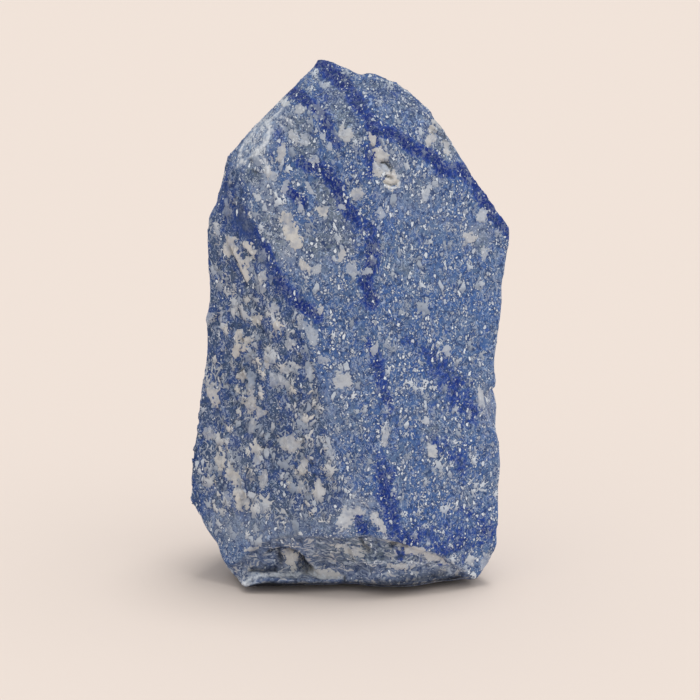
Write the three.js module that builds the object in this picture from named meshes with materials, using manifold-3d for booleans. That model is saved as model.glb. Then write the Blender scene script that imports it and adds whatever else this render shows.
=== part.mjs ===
// A hand-sized piece of rough blue quartz, broken from the vein and standing on its base.
// Millimetres, +Z up. The broad broken front faces -Y, and the stone stands on z = 0.
//
// The stone is four convex blocks that meet or overlap: the shoulders and crest above the waist,
// the body below it, and the heel and the lip that step out under the overhang at the front.
// Chips are then broken out of them, the faces are divided finely, and the skin is roughened.
import * as THREE from 'three';
import { ConvexGeometry } from 'three/addons/geometries/ConvexGeometry.js';
import { ImprovedNoise } from 'three/addons/math/ImprovedNoise.js';
import { TessellateModifier } from 'three/addons/modifiers/TessellateModifier.js';
import { mergeVertices } from 'three/addons/utils/BufferGeometryUtils.js';
import Module from 'manifold-3d';

// ---- Driving dimensions ---------------------------------------------------------------------

const FINEST_EDGE = 3.4; // the faces are divided until no triangle's side is longer than this
const TESSELLATE_PASSES = 16; // more than enough halvings for the longest side of a block
const WELD = 1e-3; // corners nearer than this are one corner

// The roughness of the broken faces: waves of each length move the skin by up to this reach.
const RELIEF = [
  { wave: 17, reach: 0.6 },
  { wave: 7, reach: 0.5 },
];
const NOISE_SHIFTS = [[31, 0, 0], [0, 57, 0], [0, 0, 83]]; // unlike noise for the X, Y and Z push
const REST_DEPTH = 3; // the roughness fades out over this height above the base, which is flat

// Corners of the blocks, [x, y, z], each list from one end of an edge to the other.
const CREST = [
  [-4.8, 0.3, 93.9], [-2.9, -0.8, 92.3], [4.3, -3.5, 90.8], [8.3, -4, 89.6], [12.2, -4.6, 87],
  [15.3, -4.5, 82.9], [17.3, -4.1, 77.8], [20.4, -4, 73.4], [23.7, -4, 69.4],
];
const RIGHT_SHOULDER = [[28.8, -3.3, 63.8], [28.2, -3.4, 60.2]];
const LEFT_SHOULDER = [
  [-9.5, 0, 89.3], [-15.2, -1.5, 83.3], [-19.3, -2, 79.3], [-21.9, -1, 75.5], [-22.5, -1.5, 72.2],
  [-25.4, -2.9, 64.2], [-25.4, -2.6, 60.2],
];
const LEFT_BEVEL = [[-19.3, -5, 75.8], [-14.2, -7.5, 79.7], [-11.2, -6.5, 85.1]];
const UPPER_RIDGE = [[3.1, -9.5, 83], [4.3, -13, 73.2], [4.8, -14.3, 60.3]];
const SHOULDER_LINE = [[9.5, -9.5, 80.4], [14.9, -7.5, 75.2], [20.9, -5.5, 71.3]];
const UPPER_LEFT_EDGE = [[-18.2, -8.2, 69.7], [-15.3, -9.6, 62.1], [-13, -10.8, 56.1], [-8.7, -12.6, 49.2]];
const UPPER_BACK = [[-6, 11, 80], [10, 10, 73], [-19, 11, 66], [22, 8, 54], [-4, 18, 56]];
const WAIST = [
  [25.3, -7.5, 40], [14, -12, 40], [5, -15.2, 40], [-5.8, -13.8, 40], [-16, -8.7, 40], [-25.7, -2.2, 40],
  [-24.2, 9, 40], [-20, 15, 40], [-4, 20, 40], [14, 17, 40], [23.6, 8, 40],
];
const RIGHT_SIDE = [
  [26.5, -7.6, 26], [27.4, -7.5, 18.7], [26.8, -7.5, 11], [26.2, -7.7, 5.1], [25, -8.1, 2.3],
];
const LEFT_SIDE = [
  [-28, -2, 25.7], [-29, -2.5, 17.4], [-28.7, -3, 13.4], [-24.2, -5.5, 8.4], [-21.9, -8.4, 2.2],
];
const LOWER_FRONT = [
  [6.1, -15.8, 24.9], [6.7, -16, 16.7], [-3.5, -14.9, 28.2], [-0.9, -15.6, 16.5], [-18.6, -9.4, 16],
];
const OVERHANG = [
  [-17, -11, 7.6], [-12.6, -13.2, 9.8], [-6.3, -14.6, 10.3], [-0.7, -15.4, 9.8], [3, -15.8, 10.9],
  [7.1, -15.5, 9.8], [11.4, -14.6, 8], [16.1, -13.1, 6], [22.6, -9.5, 0.6],
];
const LOWER_BACK = [[-2, 21, 22], [19, 14, 14], [-23, 12, 18]];
const REST = [
  [-20.3, -9, 0], [-9, -8, 0], [4, -8, 0], [19, -6, 0], [21.5, 4, 0], [16, 12, 0], [-2, 16.5, 0],
  [-19, 10, 0], [-22, -1, 0],
];
const HEEL = [
  [-6, -11.9, 6.4], [-1, -13.4, 8], [4, -14.5, 9.1], [8.5, -14.6, 8.6], [12, -13.8, 7], [16, -12.3, 5],
  [20.5, -10.4, 1.9], [20.2, -9.7, 0.6], [16.1, -11.3, 0.9], [10, -15.2, 4.8], [4, -15.5, 5.6],
  [12, -12.9, 0.5], [6, -13.4, 0.3], [2.5, -12.9, 0.4], [0, -12.2, 0.8],
  [5, -10.5, 0], [11, -10, 0], [-5, -8, 1], [-4, -5, 0], [17, -5, 0], [16, -5, 5], [-6, -5, 5],
];
const LIP = [
  [-19.1, -13, 0], [-20.4, -9, 0], [-20, -12, 2.2], [-18.6, -10.6, 4.4], [-14, -11.6, 3.5], [-14, -13.3, 2.1],
  [-8.9, -12, 2.9], [-8.9, -13.4, 2], [-3, -12.2, 2.4], [-3, -13.2, 1.7], [0.2, -12.6, 2.1],
  [0.4, -12.3, 0.3], [-8, -12.2, 0.6], [-16, -12.6, 0.5],
  [-16, -6, 2.2], [-17, -4, 0], [0, -6, 0], [-2, -6, 1.6], [-16, -10, 0], [-2, -9.5, 0],
];

// Wedges broken out of the blocks, each by its corners inside the stone and outside it.
const PIT_BY_RIDGE = [
  [4.9, -17, 76.3], [7.6, -17, 76.8], [9.4, -17, 74], [8, -17, 70.6], [5.8, -17, 71.2], [4.6, -17, 74],
  [6.3, -11, 75], [8, -10.8, 74], [7, -11, 72.2],
];
const CHIP_ABOVE_OVERHANG = [
  [0.6, -15.6, 17], [1.6, -15.7, 17.2], [-3.6, -13.8, 7], [8.4, -13.8, 7],
  [0.6, -19, 17.4], [1.6, -19, 17.4], [-4, -19, 7], [8.4, -19, 7],
];
const HOLLOW_OVER_LIP = [
  [-14.4, -17, 7.4], [-10.6, -17, 8.2], [-8.2, -17, 6.8], [-6.2, -17, 5.4], [-8.2, -17, 4.6], [-14, -17, 5.4],
  [-12.4, -7, 4.2], [-10.6, -6.4, 4.6], [-8.2, -7, 2.9], [-9, -7, 2.2], [-12.4, -7, 2.5],
];
const SCAR_ON_RIGHT_EDGE = [
  [23, -9, 35], [24, -9.4, 30.5], [26.6, -9, 25], [24.9, -2, 35.5], [25, -2, 31], [26.8, -2, 25.5],
  [32, -9, 36], [32, -9, 25], [32, -1, 36], [32, -1, 25],
];
const NICK_IN_CREST = [
  [-2.4, -8, 93.2], [-0.2, -8, 90.5], [2, -8, 90.3], [6.5, -8, 92.4],
  [-2.4, 6, 93.2], [-0.2, 6, 90.9], [2, 6, 90.7], [6.5, 6, 92.4],
];
const SCOOP_IN_RIM = [
  [15.5, -14, 82.3], [19.1, -14, 76.2], [22.6, -14, 71.6], [27, -14, 82],
  [15.8, 8, 82.5], [19.4, 8, 76.4], [22.9, 8, 71.8], [27, 8, 82],
];
const FLAKE_OFF_BACK = [
  [-34, 40, 52], [34, 40, 42], [-34, 40, 96], [34, 40, 96],
  [-34, 17.2, 51], [34, 19.2, 41], [-34, 9, 90], [34, 9, 90],
];

// ---- Solids ---------------------------------------------------------------------------------

const manifold = await Module();
manifold.setup();

function toSolid(geometry) {
  const bare = geometry.clone();
  bare.deleteAttribute('normal');
  bare.deleteAttribute('uv');
  const merged = mergeVertices(bare, WELD);
  return new manifold.Manifold(new manifold.Mesh({
    numProp: 3,
    vertProperties: Float32Array.from(merged.getAttribute('position').array),
    triVerts: Uint32Array.from(merged.getIndex().array),
  }));
}

function toGeometry(solid) {
  const mesh = solid.getMesh();
  const geometry = new THREE.BufferGeometry();
  geometry.setAttribute('position', new THREE.BufferAttribute(Float32Array.from(mesh.vertProperties), 3));
  geometry.setIndex(new THREE.BufferAttribute(Uint32Array.from(mesh.triVerts), 1));
  return geometry;
}

function block(...cornerLists) {
  return toSolid(new ConvexGeometry(cornerLists.flat().map((corner) => new THREE.Vector3(...corner))));
}

function buildFaces() {
  const shoulders = block(
    CREST, RIGHT_SHOULDER, LEFT_SHOULDER, LEFT_BEVEL, UPPER_RIDGE, SHOULDER_LINE, UPPER_LEFT_EDGE,
    UPPER_BACK, WAIST,
  );
  const body = block(WAIST, RIGHT_SIDE, LEFT_SIDE, LOWER_FRONT, OVERHANG, LOWER_BACK, REST);
  const whole = shoulders.add(body).add(block(HEEL)).add(block(LIP));
  const wedges = [
    PIT_BY_RIDGE, CHIP_ABOVE_OVERHANG, HOLLOW_OVER_LIP, SCAR_ON_RIGHT_EDGE, NICK_IN_CREST, SCOOP_IN_RIM,
    FLAKE_OFF_BACK,
  ];
  return toGeometry(wedges.reduce((solid, wedge) => solid.subtract(block(wedge)), whole));
}

// ---- The broken skin ------------------------------------------------------------------------

const noise = new ImprovedNoise();

function roughen(point) {
  const push = new THREE.Vector3();
  for (const { wave, reach } of RELIEF) {
    const [x, y, z] = [point.x / wave, point.y / wave, point.z / wave];
    push.add(new THREE.Vector3(...NOISE_SHIFTS.map((shift) => (
      reach * noise.noise(x + shift[0], y + shift[1], z + shift[2])
    ))));
  }
  return point.addScaledVector(push, THREE.MathUtils.smoothstep(point.z, 0, REST_DEPTH));
}

function buildStone() {
  const divided = new TessellateModifier(FINEST_EDGE, TESSELLATE_PASSES).modify(buildFaces().toNonIndexed());
  const skin = mergeVertices(divided, WELD);
  const position = skin.getAttribute('position');
  const point = new THREE.Vector3();
  for (let index = 0; index < position.count; index += 1) {
    roughen(point.fromBufferAttribute(position, index));
    position.setXYZ(index, point.x, point.y, point.z);
  }
  skin.computeVertexNormals();
  return new THREE.Mesh(skin, new THREE.MeshStandardMaterial({ color: 0x647494, roughness: 0.6 }));
}

// The origin is under the middle of the stone's box, on the surface that it stands on.
function standOnOrigin(mesh) {
  const box = new THREE.Box3().setFromObject(mesh, true);
  const middle = box.getCenter(new THREE.Vector3());
  mesh.position.set(-middle.x, -middle.y, -box.min.z);
}

const stone = buildStone();
stone.name = 'stone';
standOnOrigin(stone);

const root = new THREE.Group();
root.add(stone);
export default root;
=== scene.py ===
"""The blue quartz stone, dressed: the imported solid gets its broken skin, its veins, flecks and
patches, and stands on a plain pale floor in soft light."""
import math

import bmesh
import bpy
import numpy as np
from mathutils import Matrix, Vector, noise
from mathutils.bvhtree import BVHTree


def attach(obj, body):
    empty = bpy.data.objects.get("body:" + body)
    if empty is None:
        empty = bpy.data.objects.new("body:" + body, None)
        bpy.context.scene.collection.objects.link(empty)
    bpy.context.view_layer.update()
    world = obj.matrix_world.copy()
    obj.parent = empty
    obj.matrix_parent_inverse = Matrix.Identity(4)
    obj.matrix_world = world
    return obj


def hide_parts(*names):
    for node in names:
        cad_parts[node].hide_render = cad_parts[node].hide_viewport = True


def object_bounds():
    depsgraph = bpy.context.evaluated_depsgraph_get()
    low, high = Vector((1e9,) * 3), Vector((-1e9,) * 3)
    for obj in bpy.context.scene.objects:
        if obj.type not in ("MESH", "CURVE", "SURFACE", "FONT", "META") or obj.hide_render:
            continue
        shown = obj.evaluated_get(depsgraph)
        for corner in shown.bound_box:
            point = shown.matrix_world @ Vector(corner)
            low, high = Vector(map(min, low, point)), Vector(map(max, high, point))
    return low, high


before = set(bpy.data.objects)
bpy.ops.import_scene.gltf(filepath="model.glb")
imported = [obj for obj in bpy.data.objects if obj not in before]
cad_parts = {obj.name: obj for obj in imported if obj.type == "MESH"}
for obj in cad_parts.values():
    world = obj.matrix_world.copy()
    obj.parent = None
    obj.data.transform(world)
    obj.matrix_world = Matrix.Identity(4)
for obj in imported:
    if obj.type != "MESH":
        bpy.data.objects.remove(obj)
CAD_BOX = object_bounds()
MM = 0.001

# ---- The camera, and the photograph's frame ----

FRAME_SIDE = 700  # pixels, both ways
SENSOR = 36.0
LENS = 120.0
PITCH = math.radians(14)
DISTANCE = 420 * MM
TARGET = Vector((0.25, -2.52, 40.8)) * MM
FOCAL = LENS / SENSOR * FRAME_SIDE  # pixels
FORWARD = Vector((0, math.cos(PITCH), -math.sin(PITCH)))
UPWARD = Vector((0, math.sin(PITCH), math.cos(PITCH)))
EYE = TARGET - FORWARD * DISTANCE


def to_pixels(points):
    """Where points, an array of metres, lie in the photograph's frame."""
    ray = points - np.array(EYE)
    depth = ray @ np.array(FORWARD)
    across = FRAME_SIDE / 2 + FOCAL * ray[:, 0] / depth
    down = FRAME_SIDE / 2 - FOCAL * (ray @ np.array(UPWARD)) / depth
    return np.stack([across, down], axis=1)


def add_object(name, data):
    obj = bpy.data.objects.new(name, data)
    bpy.context.scene.collection.objects.link(obj)
    return obj


def make_camera():
    data = bpy.data.cameras.new("camera")
    data.lens = LENS
    data.sensor_width = SENSOR
    camera = add_object("camera", data)
    camera.location = EYE
    camera.rotation_euler = (math.pi / 2 - PITCH, 0, 0)
    bpy.context.scene.camera = camera


# ---- Markings, by pixels of the photograph's frame ----

# Deep blue veins: half-width in pixels, strength from 0 to 1, and the line that each follows.
VEINS = [
    (7, 1, [(314, 60), (323, 65), (333, 72), (343, 82), (352, 93), (360, 105), (368, 117),
            (373, 128), (374, 140)]),
    (7, 1, [(376, 128), (384, 132), (397, 137), (413, 147), (430, 155), (443, 170), (463, 170),
            (477, 183), (484, 198), (493, 213), (502, 223), (512, 234)]),
    (6, 1, [(290, 91), (303, 97), (313, 105), (322, 113), (326, 124)]),
    (7, 0.9, [(303, 163), (317, 167), (327, 175), (335, 185), (343, 198), (350, 213), (360, 221),
              (370, 232), (374, 245), (373, 263), (367, 277), (367, 290), (372, 303)]),
    (7, 0.55, [(372, 138), (371, 155), (373, 172)]), (5, 0.8, [(286, 190), (296, 197), (304, 203)]),
    (5, 0.5, [(326, 124), (332, 136), (338, 146)]),
    (7, 1, [(240, 213), (248, 228), (258, 243), (268, 257), (275, 273), (282, 287), (293, 300),
            (308, 309), (318, 316)]),
    (6, 0.5, [(370, 345), (376, 360), (381, 378), (385, 392), (388, 408)]),
    (11, 0.45, [(444, 372), (455, 386), (462, 398), (472, 414)]),
    (6, 0.35, [(413, 340), (428, 355), (444, 372)]), (7, 0.2, [(440, 443), (462, 465)]),
    (9, 0.7, [(381, 466), (387, 480), (385, 492), (391, 508), (390, 524), (399, 534), (414, 541)]),
    (14, 0.3, [(414, 539), (433, 543), (457, 538), (478, 525)]),
    (5, 1, [(359, 518), (361, 524), (364, 529)]),
]

# Soft ovals where the rock between the grains is a deeper blue: middle, half-lengths, turn in
# degrees, and strength. Some of them are painted shade: those over the crest darken where the
# overhead lamp lights the upturned rock more, and the strongest, on the left shoulder, is painted
# shade there.
DEEP_AND_SHADE_ZONES = [
    (400, 100, 40, 26, 30, 0.35), (330, 88, 30, 20, -40, 0.25), (430, 130, 24, 20, 40, 0.2),
    (362, 108, 14, 26, -20, 0.6), (345, 182, 34, 30, 0, 0.25), (322, 112, 16, 24, -30, 0.4),
    (420, 150, 44, 15, 28, 0.3), (470, 192, 20, 30, -40, 0.35), (318, 166, 30, 14, 15, 0.35),
    (357, 160, 14, 28, 0, 0.35), (365, 228, 30, 22, 30, 0.5), (374, 280, 18, 40, 0, 0.35),
    (293, 200, 16, 12, 0, 0.25), (268, 262, 16, 38, -30, 0.4), (302, 305, 22, 14, 35, 0.5),
    (345, 335, 44, 30, 0, 0.2), (430, 355, 30, 26, 35, 0.35), (456, 397, 26, 38, -30, 0.6),
    (395, 400, 20, 44, -15, 0.3), (365, 450, 28, 40, 0, 0.3), (458, 462, 26, 24, 20, 0.25),
    (388, 506, 16, 36, -10, 0.45), (440, 528, 48, 26, 0, 0.45), (233, 208, 17, 36, -10, 1.1),
    (279, 135, 8, 14, -20, 0.8), (271, 155, 5, 8, 0, 0.6), (226, 196, 12, 26, 0, 0.5),
    (246, 226, 12, 14, 0, 0.5), (222, 290, 14, 40, 0, 0.2), (340, 500, 20, 26, 0, 0.15),
    (250, 360, 20, 16, 0, 0.2), (365, 525, 10, 14, 0, 0.5),
]

# Soft ovals where it is paler or greyer: the same, with a warmth from 0 to 1 at the end.
PALE_ZONES = [
    (345, 108, 12, 30, -25, 0.45, 0.5), (262, 138, 34, 13, -48, 0.8, 0),
    (250, 156, 18, 16, -45, 0.5, 0.1), (264, 178, 16, 24, 0, 0.55, 0.3),
    (276, 214, 15, 32, -12, 0.65, 0.5), (285, 247, 17, 28, -30, 0.55, 0.5),
    (318, 268, 30, 14, 0, 0.35, 0.5), (388, 166, 18, 30, 0, 0.5, 0.7),
    (426, 190, 22, 22, 0, 0.35, 0.3), (400, 205, 34, 18, 0, 0.25, 0.4),
    (445, 226, 50, 18, 0, 0.2, 0.3), (477, 236, 20, 16, 0, 0.4, 0.7),
    (441, 143, 22, 17, 50, 0.8, 0.8), (402, 102, 26, 22, 0, 0.2, 0.1),
    (288, 125, 12, 18, 0, 0.45, 0.7), (345, 378, 30, 22, 0, 0.35, 0.5),
    (386, 355, 22, 12, 0, 0.2, 0.6), (325, 410, 26, 26, 0, 0.25, 0.2),
    (335, 442, 22, 22, 0, 0.25, 0.1), (346, 516, 24, 22, 0, 0.55, 0.3),
    (362, 502, 26, 12, 0, 0.5, 0.4), (430, 450, 12, 16, 0, 0.3, 0.6),
    (484, 405, 12, 30, 0, 0.45, 0.7), (240, 484, 18, 38, -10, 0.45, 0.7),
    (225, 455, 14, 14, 0, 0.3, 0.7), (318, 490, 18, 16, 0, 0.35, 0.6),
    (292, 446, 20, 14, 0, 0.3, 0.7), (240, 450, 40, 60, 0, 0.2, 0.3),
    (262, 130, 26, 9, -48, 0.5, 0.1), (240, 254, 30, 20, 40, 0.4, 1),
    (214, 395, 12, 24, 0, 0.35, 0.4), (330, 212, 22, 24, 0, 0.25, 0.8),
    (255, 425, 14, 40, 10, 0.25, 0.6), (290, 530, 66, 18, 0, 0.4, 0.1),
    (215, 490, 14, 40, 0, 0.2, 0.2), (265, 528, 46, 18, 0, 0.8, 0), (222, 515, 16, 30, -20, 0.7, 0),
    (425, 562, 40, 8, 18, 0.6, 0.7), (355, 557, 40, 12, 0, 0.4, 0.7),
    (465, 560, 20, 14, 0, 0.3, 0.4), (290, 573, 60, 6, 4, 0.6, 0.5),
    (248, 578, 10, 14, 0, 0.5, 0.5), (285, 563, 18, 8, 0, 0.3, 0.9),
]

# Soft ovals of slate-grey rock between the veins: middle, half-lengths, turn, strength.
SLATE_ZONES = [
    (336, 104, 10, 32, -28, 0.9), (352, 132, 10, 22, -25, 0.6), (300, 130, 14, 26, -20, 0.8),
    (308, 150, 14, 14, 0, 0.5), (380, 88, 24, 10, 10, 0.4), (412, 104, 24, 16, 40, 0.4),
    (441, 138, 20, 16, 50, 1.2), (425, 185, 30, 16, 30, 0.3), (328, 204, 12, 30, -25, 0.8),
    (344, 236, 14, 24, -25, 0.7), (318, 244, 24, 22, 0, 0.5), (272, 232, 12, 30, -15, 0.6),
    (388, 172, 14, 22, 0, 0.5), (480, 242, 16, 24, 0, 0.4), (248, 296, 14, 34, -18, 0.7),
    (262, 345, 12, 30, 0, 0.6), (300, 420, 26, 50, -10, 0.4), (268, 450, 26, 36, 0, 0.35),
    (290, 510, 40, 24, 0, 0.4), (240, 395, 14, 30, 0, 0.45), (252, 176, 14, 12, 0, 0.7),
    (405, 262, 16, 30, 0, 0.25), (430, 440, 14, 40, 0, 0.35), (466, 495, 20, 30, 0, 0.3),
    (350, 420, 20, 24, 0, 0.25), (300, 360, 14, 30, 0, 0.3), (360, 548, 60, 12, 10, 0.5),
    (400, 322, 30, 14, 0, 0.25), (345, 560, 50, 12, 8, 0.4),
]

# Pale scales with ragged edges: middle, half-lengths, turn in degrees, warmth, brightness.
SCALES = [
    (286, 219, 8, 6, 40, 0.9, 0.9), (291, 230, 7, 10, -20, 0.9, 1), (298, 243, 6, 7, 0, 0.9, 0.9),
    (305, 267, 7, 4, 50, 0.8, 0.8), (317, 270, 5, 4, 0, 0.3, 0.7), (323, 211, 5, 6, 10, 0.8, 0.9),
    (342, 254, 4, 7, 10, 0.6, 0.8), (353, 269, 6, 6, 0, 0.2, 0.6), (367, 272, 4, 4, 0, 0.1, 0.8),
    (346, 134, 6, 7, -30, 0.5, 0.9), (329, 146, 3, 4, 0, 0.1, 0.8), (323, 136, 3, 3, 0, 0.1, 0.8),
    (299, 109, 4, 6, -20, 0.5, 0.7), (305, 139, 5, 6, 0, 0.3, 0.6), (295, 138, 4, 8, -25, 0.5, 0.7),
    (281, 153, 4, 8, 12, 0.7, 0.8), (268, 171, 4, 7, -10, 0.6, 0.9), (258, 196, 4, 4, 30, 0.2, 1),
    (285, 187, 4, 7, 10, 0.2, 0.7), (309, 188, 2, 7, -25, 0.2, 0.8),
    (301, 208, 3, 7, -15, 0.2, 0.7), (325, 85, 5, 4, 0, 0.2, 0.7), (342, 207, 4, 3, 0, 0.2, 0.8),
    (357, 194, 5, 6, -30, 0.6, 0.8), (283, 101, 4, 4, 0, 0.5, 1), (274, 176, 4, 4, 0, 0.2, 0.8),
    (313, 160, 5, 4, 0, 0.2, 0.7), (230, 241, 5, 6, 0, 0.9, 0.7), (236, 254, 4, 12, -32, 1, 0.9),
    (243, 272, 4, 12, -25, 1, 0.8), (248, 245, 6, 4, 30, 0.9, 0.9), (253, 252, 6, 4, 30, 0.9, 0.8),
    (262, 276, 4, 5, 0, 0.6, 0.6), (263, 290, 3, 6, 0, 0.5, 0.5), (227, 250, 4, 7, -10, 0.9, 0.8),
    (248, 262, 3, 6, 0, 0.9, 0.7), (238, 334, 3, 6, 10, 1, 0.8), (236, 350, 4, 9, 30, 1, 0.8),
    (248, 340, 7, 3, -5, 1, 0.8), (244, 347, 5, 4, 0, 1, 0.8), (257, 320, 5, 5, 0, 1, 0.8),
    (266, 361, 3, 8, -8, 0.8, 0.7), (235, 311, 3, 4, 0, 0.7, 0.7), (275, 307, 4, 5, 20, 0.3, 0.7),
    (221, 318, 1.5, 9, 0, 0.3, 0.6), (221, 326, 3, 4, 0, 0.4, 0.6), (211, 319, 4, 6, 0, 0.4, 0.5),
    (291, 344, 5, 6, 0, 0.3, 0.6), (240, 377, 4, 5, 10, 0.9, 0.7), (287, 370, 5, 4, 0, 0.2, 0.7),
    (276, 381, 8, 7, 30, 0.2, 0.6), (251, 388, 3, 8, -5, 0.4, 0.7),
    (212, 393, 6, 12, -8, 0.9, 0.75), (249, 404, 6, 8, 10, 0.9, 0.7),
    (260, 413, 5, 6, 15, 0.7, 0.7), (312, 341, 5, 5, 20, 0.2, 0.7), (302, 324, 5, 8, 0, 0.2, 0.5),
    (320, 310, 3, 5, 0, 0.7, 0.8), (309, 374, 3, 6, -10, 0.1, 0.9), (208, 433, 7, 6, 0, 0.5, 0.6),
    (252, 424, 3, 9, 12, 0.6, 0.6), (222, 460, 6, 8, 10, 0.9, 0.8),
    (234, 476, 6, 12, -25, 0.9, 0.85), (240, 496, 6, 14, -10, 0.9, 0.85),
    (262, 480, 4, 9, 10, 0.6, 0.6), (256, 462, 4, 8, 0, 0.4, 0.6), (290, 443, 12, 9, 10, 0.6, 0.8),
    (303, 467, 5, 9, 20, 0.7, 0.8), (319, 491, 4, 9, -10, 0.5, 1), (302, 488, 5, 7, 0, 0.7, 0.6),
    (342, 381, 10, 8, -20, 0.4, 0.85), (323, 360, 5, 4, 0, 0.2, 0.7),
    (375, 347, 3, 7, 10, 0.3, 0.7), (432, 450, 4, 7, -15, 0.4, 1), (425, 420, 3, 5, 0, 0.2, 1),
    (385, 437, 3, 8, 8, 0.4, 0.7), (480, 398, 3, 12, -6, 0.4, 0.8), (345, 520, 8, 12, 20, 0.3, 1),
    (358, 511, 7, 4, 10, 0.4, 0.8), (378, 522, 4, 14, -28, 0.4, 0.9), (470, 559, 5, 5, 0, 0.3, 1),
    (469, 238, 7, 5, -30, 0.6, 0.8), (483, 215, 5, 6, 0, 0.2, 0.9), (484, 254, 5, 6, 30, 0.3, 0.7),
    (438, 124, 5, 4, 30, 0.8, 0.8), (434, 138, 4, 5, 0, 0.8, 0.7), (446, 146, 5, 4, 40, 0.6, 0.7),
    (372, 140, 3, 8, -25, 0.9, 0.8), (380, 154, 8, 8, 0, 0.9, 0.85), (378, 168, 5, 9, 0, 0.8, 0.8),
    (386, 168, 4, 4, 0, 0.2, 0.8), (391, 180, 9, 8, 15, 0.9, 1), (427, 193, 3, 8, 15, 0.1, 0.8),
    (380, 213, 4, 5, 0, 0.1, 0.7), (447, 352, 4, 5, 0, 0.2, 0.8), (413, 551, 16, 4, 14, 0.8, 0.8),
    (434, 559, 9, 4, 20, 0.7, 0.8), (394, 545, 7, 3, 0, 0.7, 0.7), (290, 561, 5, 8, -40, 1, 0.8),
    (350, 553, 12, 4, 15, 0.8, 0.7), (325, 573, 16, 3, 8, 0.9, 0.8),
    (252, 549, 8, 2, -15, 0.8, 0.8), (400, 569, 14, 4, 0, 0.8, 0.6), (243, 583, 6, 5, 40, 0.5, 0.7),
    (432, 130, 5, 4, 20, 0.9, 0.9), (428, 141, 3, 4, 0, 0.8, 0.8), (447, 151, 4, 3, 40, 0.8, 0.8),
    (262, 508, 7, 5, 0, 0.3, 0.5), (228, 500, 5, 7, 0, 0.4, 0.5), (486, 562, 5, 9, 10, 0.3, 0.6),
    (330, 455, 4, 4, 0, 0.1, 0.6), (310, 330, 5, 5, 0, 0.1, 0.6),
]

# Pale streaks, and painted highlights along the lip's lit top: half-width in pixels, brightness,
# and the line that each follows.
PALE_STREAKS_AND_HIGHLIGHTS = [
    (1.2, 0.7, [(237, 164), (239, 156), (241, 150), (246, 143), (253, 137)]),
    (4.6, 1, [(256, 153), (261, 148), (265, 143), (269, 134), (270, 127), (268, 122)]),
    (4.5, 0.6, [(268, 122), (264, 119), (258, 122), (253, 131)]),
    (2.4, 0.8, [(268, 122), (273, 117), (278, 113), (283, 107), (286, 99)]),
    (3, 0.5, [(273, 117), (285, 117), (291, 122), (297, 134)]),
    (3.2, 0.8, [(254, 132), (247, 140), (242, 147), (240, 154), (242, 161), (236, 167)]),
    (2.4, 0.8, [(257, 154), (252, 156), (247, 159), (243, 164)]),
    (2, 0.8, [(258, 157), (262, 163)]), (3.2, 0.8, [(264, 157), (267, 165), (268, 173)]),
    (3.4, 1, [(282, 101), (285, 101)]), (1.6, 0.6, [(274, 130), (277, 138)]),
    (1.6, 0.6, [(279, 122), (284, 129)]), (2.2, 0.9, [(247, 151), (248, 151)]),
    (4, 0.6, [(262, 128), (257, 138), (252, 144)]),
    (1.2, 0.6, [(258, 196), (263, 203), (268, 212), (272, 226)]),
    (1.3, 0.7, [(262, 296), (268, 304), (274, 318), (281, 330)]),
    (1.2, 0.55, [(344, 71), (360, 76), (380, 79), (400, 86), (411, 94)]),
    (1.5, 0.7, [(283, 320), (287, 330), (290, 340)]), (1.3, 0.7, [(295, 348), (302, 358)]),
    (1.6, 1, [(382, 177), (388, 173), (395, 175), (400, 180), (399, 187), (392, 188), (384, 186)]),
    (1.3, 0.5, [(478, 388), (480, 402), (486, 412), (495, 428)]),
    (1.6, 0.8, [(364, 503), (375, 515), (384, 536)]),
    (1.3, 0.6, [(333, 506), (338, 514), (345, 532)]),
    # Painted highlight: the next two light the lip's top, where light from above falls on the
    # ledge.
    (4, 0.85, [(240, 586), (247, 578), (260, 574), (275, 571), (300, 572)]),
    (3.6, 0.8, [(304, 571), (330, 576), (344, 579)]),
    (1.6, 0.6, [(386, 540), (410, 547), (440, 556), (470, 573)]),
    (1.4, 0.6, [(352, 566), (380, 562), (410, 563), (440, 568)]),
]

# The left face ends here, from the shoulder down to the overhang.
LEFT_FACE = [(222, 140), (238, 175), (248, 205), (262, 245), (275, 280), (300, 320), (318, 380),
             (330, 440), (345, 505), (345, 540)]
# How much of the left face's look it has at these rows: less at the shoulder and at the foot.
LEFT_FADE = [(200, 0.8), (255, 1), (495, 1), (545, 0.3)]
# The arris of the overhang, under which the rock is scooped out and grey.
OVERHANG = [(235, 566), (255, 547), (280, 538), (315, 538), (345, 541), (366, 537), (390, 542),
            (415, 550), (440, 557), (478, 581)]
# The crack that runs down along the hollow above the lip.
HOLLOW_CRACK = [(268, 555), (276, 554), (283, 552), (290, 556), (297, 557),
                (303, 565), (312, 570)]
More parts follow.
